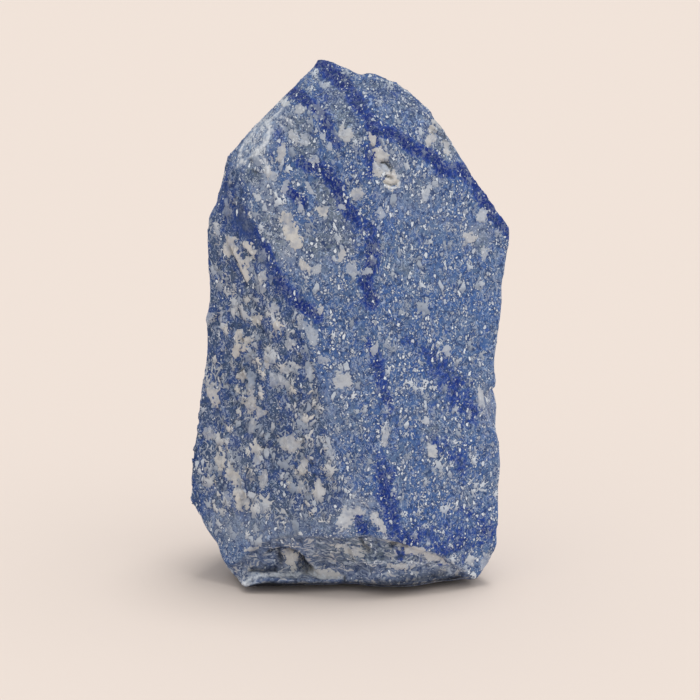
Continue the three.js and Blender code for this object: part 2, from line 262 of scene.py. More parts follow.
# Crevices: half-width in pixels, depth in millimetres, and the line that each follows.
CREVICES = [
    (2.5, 0.9, HOLLOW_CRACK), (2.5, 0.7, [(276, 554), (279, 561), (277, 567)]),
    (2.5, 0.8, [(301, 561), (299, 567), (308, 572), (330, 576), (345, 579)]),
    (2.5, 0.6, [(250, 568), (262, 569), (276, 567)]),
    (2.5, 0.6, [(386, 548), (396, 545), (406, 548)]),
    (2.5, 0.5, [(360, 543), (364, 548), (369, 551)]),
    (3, 0.6, [(244, 250), (252, 259), (261, 262)]),
    (2.5, 0.6, [(229, 248), (238, 266), (246, 286)]),
    (2.2, 0.8, [(382, 162), (387, 163), (391, 168)]), (1.8, 0.5, [(386, 176), (392, 178)]),
    (1.8, 0.4, [(384, 182), (391, 185), (397, 183)]),
    (2.5, 0.4, [(372, 146), (374, 158), (380, 166)]),
    (3, 0.4, [(482, 384), (485, 405), (495, 428)]), (3, 0.4, [(360, 503), (374, 514), (384, 536)]),
    (3, 0.4, [(250, 300), (262, 325), (268, 350)]), (3, 0.4, [(232, 345), (240, 362), (244, 380)]),
    (3, 0.4, [(236, 470), (242, 495), (240, 513)]), (3, 0.4, [(296, 452), (304, 462)]),
    (2.5, 0.4, [(430, 128), (438, 134), (446, 138)]),
]

# Where the broken skin stands out of the solid's straight arrises, or back from them: middle and
# half-lengths in pixels, then how far it moves to the right, up and forward, in millimetres.
NUDGES = [
    (350, 71, 12, 12, 0, 0.7, 0), (430, 112, 10, 10, 0.2, 0.4, 0), (318, 60, 8, 8, -0.3, 0.3, 0),
    (473, 577, 11, 11, 0.2, -0.7, 0), (455, 578, 14, 14, 0, -0.4, 0),
    (193, 497, 14, 14, -0.5, 0, 0), (196, 450, 16, 16, -0.4, 0, 0), (207, 318, 18, 18, -0.3, 0, 0),
    (214, 542, 12, 16, 0.7, 0.2, 0), (226, 150, 14, 14, -0.4, 0, 0), (493, 403, 22, 22, 0.5, 0, 0),
    (494, 545, 14, 14, 0.4, 0, 0), (210, 216, 10, 10, -0.4, 0, 0), (395, 581, 45, 8, 0, -0.2, 1.6),
    (290, 580, 55, 8, 0, 0, 1), (248, 584, 12, 8, 0, 0, 0.6),
]

# The hollow above the lip is shallow: the solid's wedge is filled up to the plane through the rock
# around it (middle and half-lengths along X and Z, in millimetres), and cut in again below a jagged
# line of pixels, deepest at that line and gone this many pixels below it.
HOLLOW = (-10.3, 5.9, 5.6, 3.0)
HOLLOW_BEHIND = -4 * MM  # nothing behind this Y is filled
HOLLOW_RIM = 1.05  # where the filling ends, in half-lengths
HOLLOW_RING = 1.3  # the plane is fitted to the rock between the rim and this
HOLLOW_TOP = [(258, 557), (268, 555), (276, 553), (283, 552), (290, 557), (297, 556), (303, 565),
              (312, 568), (320, 573)]
HOLLOW_DEPTH = 1.3 * MM
HOLLOW_HEIGHT = 14.0
HOLLOW_END = 8.0  # pixels over which it fades in and out at the line's ends
HOLLOW_BRINK = 1.5  # pixels over which it drops below the line

# The front of the foot curls in below this height above the base, by this much at the base.
FOOT_CURL_TOP = 1.6 * MM
FOOT_CURL = 0.9 * MM
FOOT_FRONT = -8 * MM  # it curls in front of this Y, fully so
FOOT_FRONT_SOFT = 2 * MM  # from this far in front of it
# The floor lies this far below the base, for a dark line of shadow under the foot.
FLOOR_DROP = 1.0 * MM

# Painted shade, mostly: dark lines along the foot's lower rim, where it curls under and the floor's
# shadow meets it, under the overhang's arris, and in cracks and pits, with a few dark marks of the
# rock itself: half-width in pixels, strength, and the line that each follows.
PAINTED_SHADE_AND_DARK_LINES = [
    (7.5, 1.8, [(246, 593), (256, 589), (268, 587), (280, 589), (300, 589), (345, 590)]),
    (10, 1.8, [(345, 590), (380, 591), (420, 590), (440, 587), (458, 583)]),
    (9, 0.7, [(380, 584), (405, 581), (425, 580), (445, 577)]), (3, 0.9, HOLLOW_CRACK),
    (4, 0.8, [(278, 556), (281, 563)]), (5, 0.9, [(301, 564), (307, 570)]),
    (3, 0.8, [(361, 541), (364, 548), (369, 550)]), (3, 0.8, [(390, 548), (400, 545), (408, 548)]),
    (3, 0.5, [(349, 552), (352, 563)]), (3, 0.8, [(248, 568), (262, 569), (276, 567)]),
    (2, 0.9, [(382, 162), (387, 163), (391, 168)]), (1.8, 0.8, [(387, 176), (392, 178)]),
    (1.5, 0.8, [(391, 171), (391, 173)]), (1.5, 0.5, [(385, 182), (391, 185), (396, 184)]),
    (1.8, 0.9, [(241, 339), (242, 341)]), (2, 0.7, [(250, 158), (252, 162)]),
    (2, 0.7, [(253, 170), (257, 173)]), (2, 0.7, [(432, 132), (435, 134)]),
    (2, 0.6, [(443, 140), (447, 141)]), (2, 0.5, [(229, 248), (238, 266), (246, 286)]),
    (2.5, 0.9, [(345, 580), (345, 590)]),
]


def polyline_distance(pixels, line):
    nearest = np.full(len(pixels), np.inf)
    for start, end in zip(line, line[1:]):
        start, along = np.array(start, float), np.subtract(end, start).astype(float)
        part = np.clip((pixels - start) @ along / (along @ along), 0, 1)
        gap = np.linalg.norm(pixels - start - part[:, None] * along, axis=1)
        nearest = np.minimum(nearest, gap)
    return nearest


def vein_field(pixels):
    """1 along a full vein's line, 0.25 at its rims, and down to -1 away from all of them."""
    field = np.full(len(pixels), -1.0)
    for half_width, strength, line in VEINS:
        rise = strength * (1.6 - 1.35 * polyline_distance(pixels, line) / half_width)
        field = np.maximum(field, np.clip(rise, -1, strength))
    return field


def oval_distance(pixels, x, y, half_across, half_down, turn):
    """0 in an oval's middle, 1 on its rim and growing on outside it."""
    turn = math.radians(turn)
    across, down = pixels[:, 0] - x, pixels[:, 1] - y
    along = (across * math.cos(turn) + down * math.sin(turn)) / half_across
    aside = (down * math.cos(turn) - across * math.sin(turn)) / half_down
    return np.hypot(along, aside)


def soft_oval(pixels, *oval):
    """1 in an oval's middle, 0.25 on its rim, and fading on outside it."""
    return np.exp(-1.4 * oval_distance(pixels, *oval) ** 2)


def zone_field(pixels, zones):
    """The sum of soft ovals."""
    field = np.zeros(len(pixels))
    for *oval, strength in zones:
        field += strength * soft_oval(pixels, *oval)
    return field


def pale_fields(pixels):
    """How pale the ground is, and how warm its paleness is, from 0 to 1."""
    paleness = np.zeros(len(pixels))
    warmth = np.full(len(pixels), 0.02)
    total = np.full(len(pixels), 0.05)
    for *oval, strength, warm in PALE_ZONES:
        here = strength * soft_oval(pixels, *oval)
        paleness += here
        warmth += here * warm
        total += here
    return paleness, warmth / total


def scale_fields(pixels):
    """How far inside a scale each point lies, from -1 to 1, and its nearest scale's warmth and
    brightness."""
    rise = np.full(len(pixels), -1.0)
    warmth = np.full(len(pixels), 0.5)
    glow = np.full(len(pixels), 0.7)
    for *oval, warm, bright in SCALES:
        here = np.clip(1 - oval_distance(pixels, *oval), -1, 1)
        better = here > rise
        rise = np.where(better, here, rise)
        warmth = np.where(better, warm, warmth)
        glow = np.where(better, bright, glow)
    return rise, warmth, glow


def streak_and_highlight_field(pixels):
    """Up to 1 along a pale streak's or painted highlight's line, and 0 away from all of them."""
    field = np.zeros(len(pixels))
    for half_width, bright, line in PALE_STREAKS_AND_HIGHLIGHTS:
        field = np.maximum(field, bright * (1 - polyline_distance(pixels, line) / half_width))
    return field


def left_face_field(pixels, soft=7.0):
    """1 on the left face, less at its ends, 0 to the right of its arris."""
    columns, rows = zip(*LEFT_FACE)
    border = np.interp(pixels[:, 1], rows, columns)
    fade = np.interp(pixels[:, 1], *zip(*LEFT_FADE))
    return fade * np.clip((border - pixels[:, 0]) / soft + 0.5, 0, 1)


def scooped_field(pixels, soft=4.0):
    """1 under the overhang, 0 above its arris."""
    arris = np.interp(pixels[:, 0], *zip(*OVERHANG))
    return np.clip((pixels[:, 1] - arris) / soft + 0.5, 0, 1)


def painted_shade_and_mark_field(pixels):
    """Up to 1 on the painted shade in cracks and under the curled foot, and on a few dark marks."""
    field = np.zeros(len(pixels))
    for half_width, strength, line in PAINTED_SHADE_AND_DARK_LINES:
        here = strength * (1 - polyline_distance(pixels, line) / half_width)
        field = np.maximum(field, np.minimum(here, 1))
    return field


# ---- The skin ----

VOXEL = 0.64 * MM
REST_LEVEL = 0.2 * MM  # no relief is raised below this height above the base
REST_DEPTH = 1.2 * MM  # and it reaches its full height this far above that
SEEN_SOFT = 0.12  # a face counts less as seen when its normal has less than this towards the eye
RAY_LIFT = 0.5 * MM  # rays to the eye start this far off the skin
# The relief, in millimetres.
WAVE_DEPTH, FINE_DEPTH = 0.12, 0.05
PLATE_DEPTH, LEFT_PLATE_DEPTH, SCALE_DEPTH = 0.06, 0.34, 0.16
UNDERCUT_STEP = 0.8  # how far the rock under the overhang steps back from its arris
GRAIN_LINE = np.array([0.36, 0.20, -0.91])  # the left face's flakes are drawn out this way
VEIN_START = 1 * MM  # veins run straight back to this Y, and lean over from there
VEIN_REACH = 30 * MM  # further back, where they have leant over by the whole slant
VEIN_SLANT = np.array([60, 35])  # pixels, rightward and down
VEIN_SWAY = 45  # pixels


def of_vertices(mesh, what):
    """Each vertex's place ("co") or direction ("normal"), as rows of three."""
    values = np.empty(len(mesh.vertices) * 3)
    mesh.vertices.foreach_get(what, values)
    return values.reshape(-1, 3)


def place_vertices(mesh, points):
    mesh.vertices.foreach_set("co", points.ravel())
    mesh.update()


def remesh(obj, worn):
    """Makes the mesh even and fine, and wears its arrises if asked."""
    even = obj.modifiers.new("even", "REMESH")
    even.mode = "VOXEL"
    even.voxel_size = VOXEL
    if worn:
        wear = obj.modifiers.new("wear", "SMOOTH")
        wear.factor = 0.5
        wear.iterations = 3
    graph = bpy.context.evaluated_depsgraph_get()
    obj.data = bpy.data.meshes.new_from_object(obj.evaluated_get(graph))
    obj.modifiers.clear()


def fill_hollow(mesh):
    """Raises the floor of the solid's hollow to the plane through the rock around it."""
    points = of_vertices(mesh, "co")
    x, z, half_x, half_z = (length * MM for length in HOLLOW)
    from_middle = np.hypot((points[:, 0] - x) / half_x, (points[:, 2] - z) / half_z)
    near_front = points[:, 1] < HOLLOW_BEHIND
    around = near_front & (from_middle > HOLLOW_RIM) & (from_middle < HOLLOW_RING)
    level = np.stack([np.ones(len(points)), points[:, 0], points[:, 2]], axis=1)
    plane = np.linalg.lstsq(level[around], points[around, 1], rcond=None)[0]
    filled = np.minimum(points[:, 1], level @ plane)
    points[:, 1] = np.where(near_front & (from_middle < HOLLOW_RIM), filled, points[:, 1])
    place_vertices(mesh, points)


def fine_copy(node):
    """The CAD solid as an even, finely divided mesh, its arrises worn and its hollow filled."""
    obj = add_object("stone_skin", node.data.copy())
    remesh(obj, worn=False)
    fill_hollow(obj.data)
    remesh(obj, worn=True)
    return obj


def seen_from_eye(obj):
    """For each vertex, 1 where the photograph shows it, and 0 where it is turned away or hidden."""
    points, outward = of_vertices(obj.data, "co"), of_vertices(obj.data, "normal")
    tree = BVHTree.FromObject(obj, bpy.context.evaluated_depsgraph_get())
    towards = np.array(EYE) - points
    reach = np.linalg.norm(towards, axis=1)
    facing = np.einsum("ij,ij->i", towards / reach[:, None], outward)
    seen = np.clip(facing / SEEN_SOFT, 0, 1)
    for index in np.flatnonzero(seen > 0):
        start = Vector(points[index] + outward[index] * RAY_LIFT)
        ray = EYE - start
        if tree.ray_cast(start, ray.normalized(), ray.length)[0] is not None:
            seen[index] = 0
    return seen


def divide_seen(obj, seen):
    """Halves the edges of the faces that the photograph shows, for finer relief there."""
    mesh = bmesh.new()
    mesh.from_mesh(obj.data)
    faces = [face for face in mesh.faces if any(seen[vertex.index] > 0 for vertex in face.verts)]
    edges = {edge for face in faces for edge in face.edges}
    bmesh.ops.subdivide_edges(mesh, edges=list(edges), cuts=1, use_grid_fill=True)
    bmesh.ops.triangulate(mesh, faces=[face for face in mesh.faces if len(face.verts) > 4])
    mesh.to_mesh(obj.data)
    mesh.free()


def fractal(points, wave, octaves, shift=0.0):
    """Fractal noise, about -1 to 1, at each point, with its longest waves this long in metres."""
    scaled = points / wave + shift
    return np.array([noise.fractal(p, 1.0, 2.0, octaves) for p in scaled])


def flakes(points, size, warp, shift=0.0):
    """Plateaus about this size across, each at its own height from 0 to 1."""
    bend = np.stack([fractal(points, size * 0.6, 2, shift + more) for more in (3, 7, 11)], 1)
    scaled = points / size + bend * warp + shift
    heights = np.empty(len(points))
    for index, point in enumerate(scaled):
        nearest = noise.voronoi(point)[1][0]
        heights[index] = noise.cell(nearest * 7.3)
    return heights


def nudge_rim(points, pixels):
    """Moves the rim out to the stone's outline, or back to it."""
    for x, y, half_across, half_down, rightward, upward, forward in NUDGES:
        share = np.exp(-2 * oval_distance(pixels, x, y, half_across, half_down, 0) ** 2)
        points += share[:, None] * np.array([rightward, -forward, upward]) * MM


def recess_field(pixels):
    """1 right under the hollow's jagged top, and 0 outside the hollow."""
    below = pixels[:, 1] - np.interp(pixels[:, 0], *zip(*HOLLOW_TOP))
    ends = np.clip((pixels[:, 0] - HOLLOW_TOP[0][0]) / HOLLOW_END, 0, 1)
    ends *= np.clip((HOLLOW_TOP[-1][0] - pixels[:, 0]) / HOLLOW_END, 0, 1)
    return ends * np.clip(below / HOLLOW_BRINK, 0, 1) * np.clip(1 - below / HOLLOW_HEIGHT, 0, 1)


def shape_foot(points):
    """Curls the front of the foot in towards the base."""
    front = np.clip((FOOT_FRONT - points[:, 1]) / FOOT_FRONT_SOFT, 0, 1)
    curl = np.clip(1 - points[:, 2] / FOOT_CURL_TOP, 0, 1)
    points[:, 1] += front * FOOT_CURL * curl ** 2


def slanted_pixels(points, pixels):
    """Where each point's rock would lie in the frame if the veins ran straight back: they run on
    through the stone at a slant, swaying."""
    behind = np.clip((points[:, 1] - VEIN_START) / VEIN_REACH, 0, 1)
    sway = np.stack([fractal(points, 14 * MM, 2, 31.0), fractal(points, 14 * MM, 2, 47.0)], 1)
    return pixels + behind[:, None] * (VEIN_SLANT + VEIN_SWAY * sway)


def marking_fields(points, outward, pixels, seen):
    """Each marking's field: by place where the photograph shows the rock, else by chance."""
    chance = fractal(points, 16 * MM, 3, 61.0)
    in_view = seen > 0
    paleness, pale_warmth = pale_fields(pixels)
    rise, scale_warmth, glow = scale_fields(pixels)
    return {
        "vein": vein_field(slanted_pixels(points, pixels)),
        "deep": np.where(in_view, zone_field(pixels, DEEP_AND_SHADE_ZONES),
                         np.clip(chance * 0.9 - 0.05, 0, 0.5)),
        "slate": np.where(in_view, zone_field(pixels, SLATE_ZONES), np.clip(0.6 * chance, 0, 0.5)),
        "pale": np.where(in_view, paleness, np.clip(-chance * 0.9 - 0.1, 0, 0.5)),
        "pale_warmth": pale_warmth,
        "scale": np.where(in_view, rise, -1.0),
        "scale_warmth": scale_warmth,
        "glow": glow,
        "streak": seen * streak_and_highlight_field(pixels),
        "left": np.where(in_view, left_face_field(pixels), np.clip(0.5 + 2 * chance, 0, 1)),
        "scooped": np.where(in_view, scooped_field(pixels), 0),
        # painted shade under the foot, under the arris and in cracks, and a few dark marks
        "painted_shade_and_marks": seen * painted_shade_and_mark_field(pixels),
        # painted shade: how much a face looks up, for darkening it against the overhead lamp
        "faces_up_painted_shade": np.clip(outward[:, 2], 0, 1),
        "seen": seen,
    }


def relief(points, outward, pixels, fields):
    """How far the broken skin stands out at each point, in metres."""
    seen, left = fields["seen"], fields["left"]
    along = points @ GRAIN_LINE
    drawn_out = points - 0.6 * along[:, None] * GRAIN_LINE
    depth = WAVE_DEPTH * fractal(points, 4.2 * MM, 3)
    depth += FINE_DEPTH * fractal(points, 1.1 * MM, 2, 20.0)
    plates = flakes(drawn_out, 2.3 * MM, 0.5, 5.0) - 0.5
    on_left = left * np.clip(-1.6 * outward[:, 1], 0.35, 1)
    depth += (PLATE_DEPTH + LEFT_PLATE_DEPTH * on_left) * plates
    depth += SCALE_DEPTH * np.clip(fields["scale"] / 0.3, 0, 1) * seen * left
    depth -= UNDERCUT_STEP * fields["scooped"]
    for half_width, cut, line in CREVICES:
        nearness = np.clip(1 - polyline_distance(pixels, line) / half_width, 0, 1)
        depth -= cut * nearness * seen
    return depth * np.clip((points[:, 2] - REST_LEVEL) / REST_DEPTH, 0, 1) * MM


def dress_skin(obj):
    """Stores where each marking lies on the skin, and raises its relief."""
    divide_seen(obj, seen_from_eye(obj))
    seen = seen_from_eye(obj)
    mesh = obj.data
    points, outward = of_vertices(mesh, "co"), of_vertices(mesh, "normal")
    pixels = to_pixels(points)
    fields = marking_fields(points, outward, pixels, seen)
    for name, values in fields.items():
        layer = mesh.attributes.new(name, "FLOAT", "POINT")
        layer.data.foreach_set("value", np.asarray(values, dtype=np.float32))
    points += outward * relief(points, outward, pixels, fields)[:, None]
    nudge_rim(points, pixels)
    points[:, 1] += HOLLOW_DEPTH * recess_field(pixels) * seen
    shape_foot(points)
    points[:, 2] = np.maximum(points[:, 2], 0)
    low, high = (np.array(corner) for corner in CAD_BOX)
    place_vertices(mesh, np.clip(points, low, high))
    mesh.shade_smooth()


# ---- Materials ----

FACE_LIGHT = 0.70  # the share of its own colour that the stone's front shows in this light
# Painted shade: the rock is painted darker where it faces up, to offset the overhead lamp's
# stronger light there.
PAINTED_TOP_SHADE = 0.45  # how much darker the rock is where it faces up
BLACK = (0, 0, 0, 1)


def tint(red, green, blue):
    """The colour of a surface that looks like this, 0 to 255, on the stone's front."""
    parts = [value / 255 for value in (red, green, blue)]
    light = [p / 12.92 if p <= 0.04045 else ((p + 0.055) / 1.055) ** 2.4 for p in parts]
    return tuple(min(p / FACE_LIGHT, 0.95) for p in light) + (1,)


class Weave:
    """Short ways to add nodes to a material's tree; lengths are in millimetres."""

    def __init__(self, material):
        material.use_nodes = True
        self.tree = material.node_tree
        self.shader = self.tree.nodes["Principled BSDF"]
        self.place = self.vector("SCALE", self.node("TexCoord").outputs["Object"], scale=1 / MM)

    def join(self, value, socket):
        if isinstance(value, bpy.types.NodeSocket):
            self.tree.links.new(value, socket)
        else:
            socket.default_value = value

    def node(self, kind, **inputs):
        """A new node of this kind, with these values or links on its inputs."""
        node = self.tree.nodes.new("ShaderNode" + kind)
        for name, value in inputs.items():
            self.join(value, node.inputs[name])
        return node

    def vector(self, operation, first, second=None, scale=None, output="Vector"):
        node = self.node("VectorMath")
        node.operation = operation
        self.join(first, node.inputs[0])
        if second is not None:
            self.join(second, node.inputs[1])
        if scale is not None:
            self.join(scale, node.inputs["Scale"])
        return node.outputs[output]

    def measure(self, operation, first, second=None):
        """A vector's length, or the dot product of two."""
        return self.vector(operation, first, second, output="Value")

    def math(self, operation, first, second=0.0, third=0.0):
        node = self.node("Math")
        node.operation = operation
        for value, socket in zip((first, second, third), node.inputs):
            self.join(value, socket)
        return node.outputs[0]

    def times(self, first, *others):
        for other in others:
            first = self.math("MULTIPLY", first, other)
        return first

    def attribute(self, name):
        node = self.node("Attribute")
        node.attribute_name = name
        return node.outputs["Fac"]

    def noise(self, size, detail, roughness, place=None, shift=0.0, distortion=0.0,
              output="Fac"):
        node = self.node("TexNoise", Vector=self.moved(place, shift), Scale=1 / size,
                         Detail=detail, Roughness=roughness, Distortion=distortion)
        return node.outputs[output]

    def voronoi(self, feature, size, place):
        node = self.node("TexVoronoi", Vector=place, Scale=1 / size)
        node.feature = feature
        return node.outputs

    def cells(self, size, place, shift=0.0):
        """Cells about this size across: the distance from each one's middle, in sizes, its three
        lots, and its middle."""
        outputs = self.voronoi("F1", size, self.moved(place, shift))
        lots = self.node("SeparateColor", Color=outputs["Color"]).outputs
        return outputs["Distance"], list(lots), outputs["Position"]

    def stars(self, size, reach, spikes, place, shift):
        """Jagged flecks, one in each cell of this size and up to this far from its middle: how
        far inside a fleck a place lies, how high in it, from -1 to 1, and the cell's lots."""
        place = self.moved(place, shift)
        _, lots, middle = self.cells(size, place)
        offset = self.vector("SUBTRACT", place, middle)
        heading = self.vector("SCALE", self.vector("NORMALIZE", offset), scale=spikes)
        key = self.vector("ADD", heading, self.vector("SCALE", middle, scale=3.1))
        waves = self.noise(1.0, 0.5, 0.5, place=key)
        fold = self.math("ABSOLUTE", self.math("SUBTRACT", waves, 0.5))
        arm = self.ramp(fold, 0.0, 0.10, reach, 0.38 * reach, smooth=False)
        inside = self.math("SUBTRACT", arm, self.measure("LENGTH", offset))
        height = self.measure("DOT_PRODUCT", offset, (0.4 / reach, 0, 0.9 / reach))
        return inside, height, lots

    def shards(self, size, place, shift):
        """Angular flecks, one in each cell of this size: how far inside one a place lies, how
        high in it, from -1 to 1, and the cell's lots."""
        place = self.moved(place, shift)
        _, lots, middle = self.cells(size, place)
        offset = self.vector("SUBTRACT", place, middle)
        margin = self.ramp(lots[2], 0, 1, 0.08 * size, 0.28 * size, smooth=False)
        from_edge = self.voronoi("DISTANCE_TO_EDGE", size, place)["Distance"]
        inside = self.math("SUBTRACT", self.times(from_edge, size), margin)
        height = self.measure("DOT_PRODUCT", offset, (0.8 / size, 0, 1.8 / size))
        return inside, height, lots

    def drawn(self, place, turn, scale):
        """The place turned by this many degrees about the view's axis, then scaled."""
        turned = (0, math.radians(turn), 0)
        return self.node("Mapping", Vector=place, Rotation=turned, Scale=scale).outputs["Vector"]

    def moved(self, place, shift):
        place = self.place if place is None else place
        return self.vector("ADD", place, (shift, shift * 1.7, -shift)) if shift else place

    def bent(self, size, amount, shift):
        """The place, pushed about by waves of this size, by about this much each way."""
        waves = self.noise(size, 2.0, 0.6, shift=shift, output="Color")
        push = self.vector("SUBTRACT", waves, (0.5, 0.5, 0.5))
        return self.vector("ADD", self.place, self.vector("SCALE", push, scale=amount * 4))

    def ramp(self, value, low, high, to_low=0.0, to_high=1.0, smooth=True):
        node = self.node("MapRange")
        node.interpolation_type = "SMOOTHSTEP" if smooth else "LINEAR"
        for name, given in (("Value", value), ("From Min", low), ("From Max", high),
                            ("To Min", to_low), ("To Max", to_high)):
            self.join(given, node.inputs[name])
        return node.outputs["Result"]

    def mix(self, share, first, second):
        node = self.node("Mix")
        node.data_type = "RGBA"
        self.join(share, node.inputs["Factor"])
        self.join(first, node.inputs["A"])
        self.join(second, node.inputs["B"])
        return node.outputs["Result"]


GREY_BLUE = tint(79, 101, 135)
MID_BLUE = tint(60, 90, 141)
FULL_BLUE = tint(44, 75, 140)
VEIN_BLUE = tint(34, 60, 130)
VEIN_DARK = tint(17, 37, 105)
SLATE = tint(95, 106, 119)
DARK_SLATE = tint(55, 70, 96)
DARK_BLUE = tint(36, 59, 113)
SHADE_BLUE = tint(40, 58, 98)
SHADE_GREY = tint(40, 49, 70)
PALE_BLUE = tint(154, 173, 202)
PALE_GROUND = tint(132, 147, 168)
WARM_GROUND = tint(144, 146, 149)
WHITE = tint(199, 206, 221)
BEIGE = tint(187, 185, 181)
GLEAM_AND_HIGHLIGHT = tint(199, 204, 210)
COOL_GREY = tint(166, 175, 188)
FLECK_HEART = tint(104, 119, 146)
FLECK_DULL = tint(136, 146, 162)
CURL_GREY = tint(148, 158, 176)
FOOT_GREY = tint(104, 113, 130)
# Near black, for the painted shade under the foot and in cracks, and for a few dark marks.
PAINTED_SHADE_AND_DARK_MARK = tint(24, 26, 32)

# Threads: the size of their waves, and their half-width in the noise's own measure.
THREADS = [(1.6, 0.017), (0.9, 0.022)]
# Curls: the size of their waves, and the noise above which there is one.
CURLS = [(0.9, 0.61), (0.5, 0.60)]
# Flecks: the size of their cells, jagged or angular, the share of cells that hold one on the right
# and on the left, turn in degrees, and scale along their length.
FLECKS = [(2.4, True, 0.05, 0.42, 14, 0.70), (1.3, True, 0.16, 0.32, -16, 0.70),
          (1.1, False, 0.03, 0.14, 30, 0.50)]
# Dots: the size of their cells, greatest radius in sizes, turn in degrees, scale along their
# length, and brightness.
DOTS = [(0.85, 0.40, -25, 0.7, 1.0), (0.52, 0.44, 0, 1.0, 0.9), (0.75, 0.36, 35, 0.42, 0.95)]
BUMP_STRENGTH = 0.8
BUMP_HEIGHT = 0.22 * MM


def ground_colour(weave, middling):
    """The rock between its grains: grey-blue to full blue, with deep and pale ground and veins."""
    broad = weave.noise(6.0, 3, 0.6)
    colour = weave.mix(weave.ramp(broad, 0.35, 0.65), GREY_BLUE, MID_BLUE)
    colour = weave.mix(weave.ramp(middling, 0.5, 0.75), colour, FULL_BLUE)
    colour = weave.mix(weave.times(weave.attribute("scooped"), 0.7), colour, FOOT_GREY)
    spread = weave.math("MULTIPLY_ADD", middling, 1.6, -0.8)
    pale = weave.math("ADD", weave.attribute("pale"), weave.times(spread, 0.5))
    pale_colour = weave.mix(weave.attribute("pale_warmth"), PALE_GROUND, WARM_GROUND)
    colour = weave.mix(weave.ramp(pale, 0.05, 0.75, 0.0, 0.85), colour, pale_colour)
    slate = weave.math("ADD", weave.attribute("slate"), weave.times(spread, -0.6))
    colour = weave.mix(weave.ramp(slate, 0.05, 0.5, 0.0, 0.9), colour, SLATE)
    # Veins, frayed by waves at two sizes.
    fray = weave.math("MULTIPLY_ADD", weave.noise(2.4, 2, 0.6, shift=3), 2.4, -1.2)
    fine_fray = weave.math("MULTIPLY_ADD", weave.noise(0.7, 2, 0.6, shift=5), 1.7, -0.85)
    frayed = weave.math("ADD", fray, fine_fray)
    vein = weave.math("ADD", weave.attribute("vein"), frayed)
    deep = weave.math("ADD", weave.attribute("deep"), weave.times(frayed, 0.5))
    vein_share = weave.ramp(vein, -0.2, 0.5)
    share = weave.math("MAXIMUM", vein_share, weave.ramp(deep, 0.1, 0.75, 0.0, 0.85))
    vein_colour = weave.mix(weave.ramp(vein, 0.35, 1.05), VEIN_BLUE, VEIN_DARK)
    return weave.mix(share, colour, vein_colour), vein_share


def add_threads(weave, colour, calm):
    """Fine pale lines that wander and break off."""
    for size, width in THREADS:
        waves = weave.noise(size, 1.0, 0.5, shift=size * 31, distortion=0.8)
        line = weave.math("ABSOLUTE", weave.math("SUBTRACT", waves, 0.5))
        broken = weave.ramp(weave.noise(1.1, 2, 0.5, shift=size * 32), 0.50, 0.56)
        thread = weave.times(weave.ramp(line, width, width * 0.3), broken, 0.65, calm)
        colour = weave.mix(thread, colour, PALE_BLUE)
    return colour


def add_curls(weave, colour, shade, left, calm):
    """Small islands of grey-blue, drawn out and curled, most of them on the left face."""
    place = weave.drawn(weave.bent(1.6, 0.3, shift=71), 12, (1, 0.6, 0.6))
    for size, low in CURLS:
        island = weave.noise(size, 1.0, 0.5, place=place, shift=size * 80, distortion=1.8)
        many = weave.times(calm, weave.ramp(left, 0, 1, 0.6, 0.55))
        hem = weave.times(weave.ramp(island, low - 0.06, low - 0.01), many, 0.3)
        colour = weave.mix(hem, colour, shade)
        share = weave.times(weave.ramp(island, low, low + 0.03), many)
        colour = weave.mix(share, colour, CURL_GREY)
    return colour


def add_flecks(weave, colour, shade, left, calm):
    """Jagged and angular flecks, most on the left face, painted brighter at the upper end."""
    height = 0.0
    sway = weave.bent(0.7, 0.16, shift=57)
    for size, jagged, on_right, on_left, turn, length in FLECKS:
        place = weave.drawn(sway, turn, (1, 0.5, length))
        if jagged:
            inside, painted_light_slope, lots = weave.stars(size, 0.75 * size, 1.3, place, shift=size * 12)
        else:
            inside, painted_light_slope, lots = weave.shards(size, place, shift=size * 12)
        chosen = weave.math("LESS_THAN", lots[0], weave.ramp(left, 0, 1, on_right, on_left))
        chosen = weave.times(chosen, calm)
        hem = weave.times(weave.ramp(inside, -0.18, -0.02), chosen, 0.6)
        colour = weave.mix(hem, colour, shade)
        bright_colour = weave.mix(lots[2], COOL_GREY, weave.mix(left, WHITE, BEIGE))
        fleck_colour = weave.mix(weave.ramp(lots[1], 0.1, 0.8), FLECK_DULL, bright_colour)
        # Painted light: each fleck shows more at its upper end and less at its lower end, as if lit
        # from above.
        share = weave.times(weave.ramp(inside, 0.0, 0.05), chosen,
                            weave.ramp(painted_light_slope, -0.5, 0.2, 0.5, 1.0))
        colour = weave.mix(share, colour, fleck_colour)
        height = weave.math("ADD", height, weave.times(share, weave.ramp(inside, 0.0, 0.16)))
    return colour, height


def add_dots(weave, colour, shade, fewer):
    """Small grains of white, round or drawn out, in swarms, each with a dark hem."""
    height = 0.0
    sway = weave.bent(0.7, 0.22, shift=37)
    swarm = weave.ramp(weave.noise(2.6, 2, 0.6, shift=83), 0.38, 0.62, 0.2, 1.0)
    fewer = weave.times(fewer, swarm)
    for size, radius, turn, length, share in DOTS:
        place = weave.drawn(sway, turn, (1, 1, length))
        gap, lots, _ = weave.cells(size, place, shift=41 * size + turn)
        chosen = weave.math("LESS_THAN", lots[2], fewer)
        edge = weave.ramp(lots[0], 0.0, 1.0, 0.12, radius, smooth=False)
        hem = weave.times(weave.ramp(gap, weave.times(edge, 1.7), edge), chosen, 0.6, share)
        colour = weave.mix(hem, colour, shade)
        dot = weave.ramp(gap, edge, weave.times(edge, 0.75))
        dot = weave.times(dot, weave.ramp(lots[1], 0, 1, 0.4, 1.1, smooth=False), chosen, share)
        colour = weave.mix(dot, colour, WHITE)
        height = weave.math("ADD", height, dot)
    return colour, height


